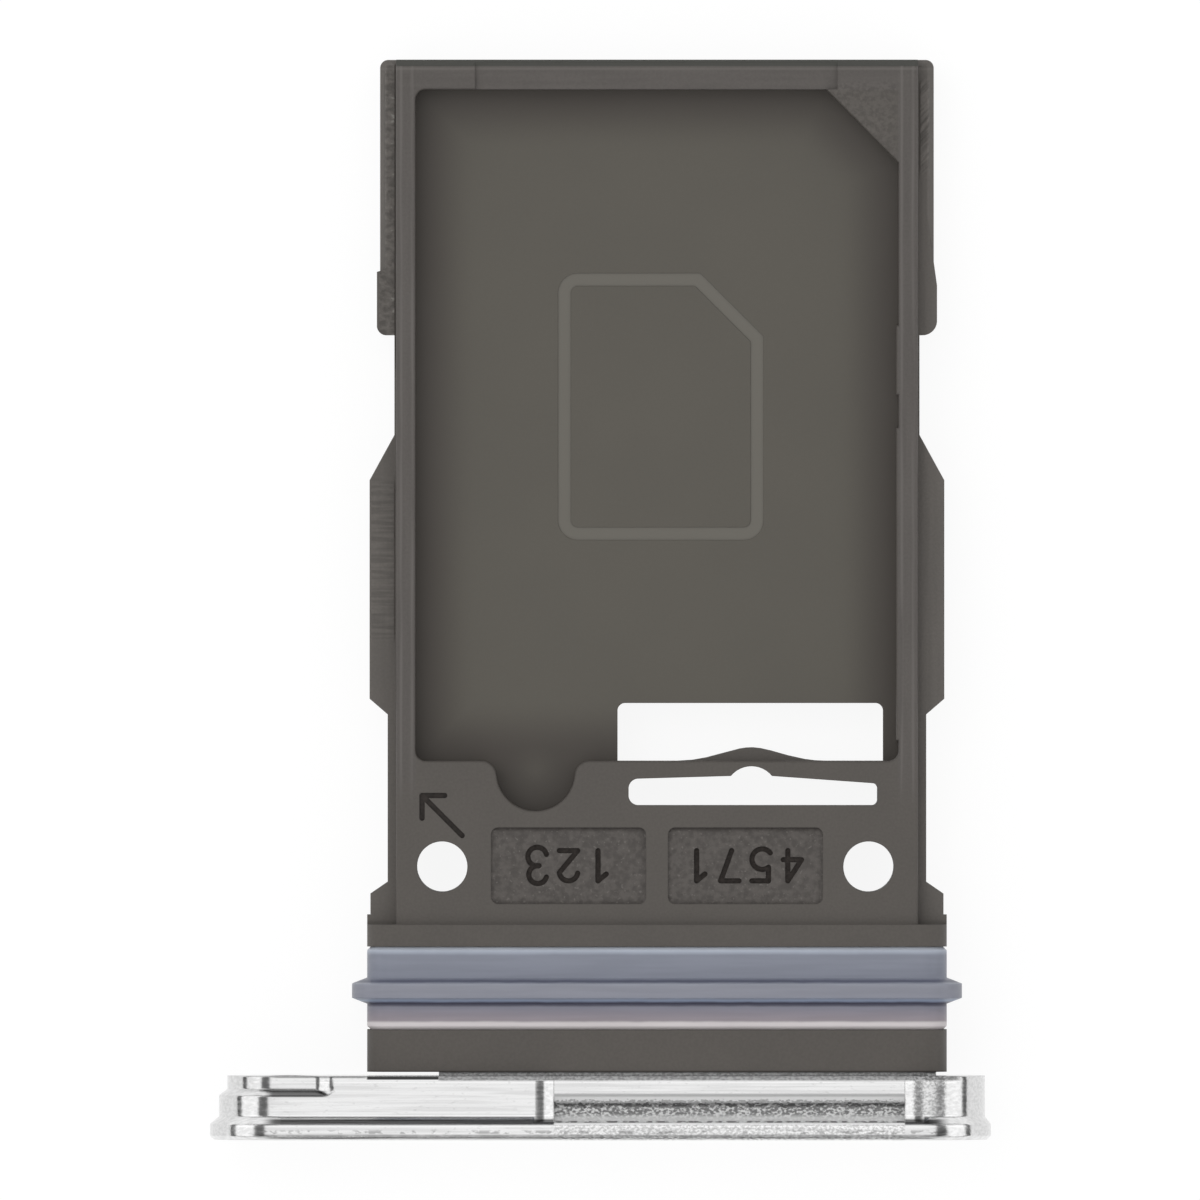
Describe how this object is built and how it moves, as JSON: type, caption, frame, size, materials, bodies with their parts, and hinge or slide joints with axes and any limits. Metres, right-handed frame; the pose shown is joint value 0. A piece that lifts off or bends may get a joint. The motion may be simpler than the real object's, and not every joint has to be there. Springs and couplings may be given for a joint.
{
  "type": "sim card tray",
  "caption": "Removable phone tray that carries a nano card in a pocket on each face, with a silicone seal and a metal end face.",
  "frame": {"origin": "on the outer face of the metal head, at the middle of the plug's width and of the tray's thickness", "axes": "+Y from the outer face towards the end that goes into the phone first, +Z out of the face with the engraved marks, +X across the tray, away from the ejector pin hole"},
  "size_m": [0.0145, 0.02, 0.0026],
  "materials": {
    "moulding": "fine spark-eroded mould texture, dark warm grey",
    "sheet": "smooth satin olive-grey coating",
    "silicone": "translucent blue-grey, satin",
    "head_metal": "bright machined, brushed along its length, blast-rough in the recess"
  },
  "bodies": {
    "root": {"head_plate": "head_metal", "tray_frame": "moulding", "separator_plate": "sheet", "seal": "silicone"}
  },
  "joints": []
}
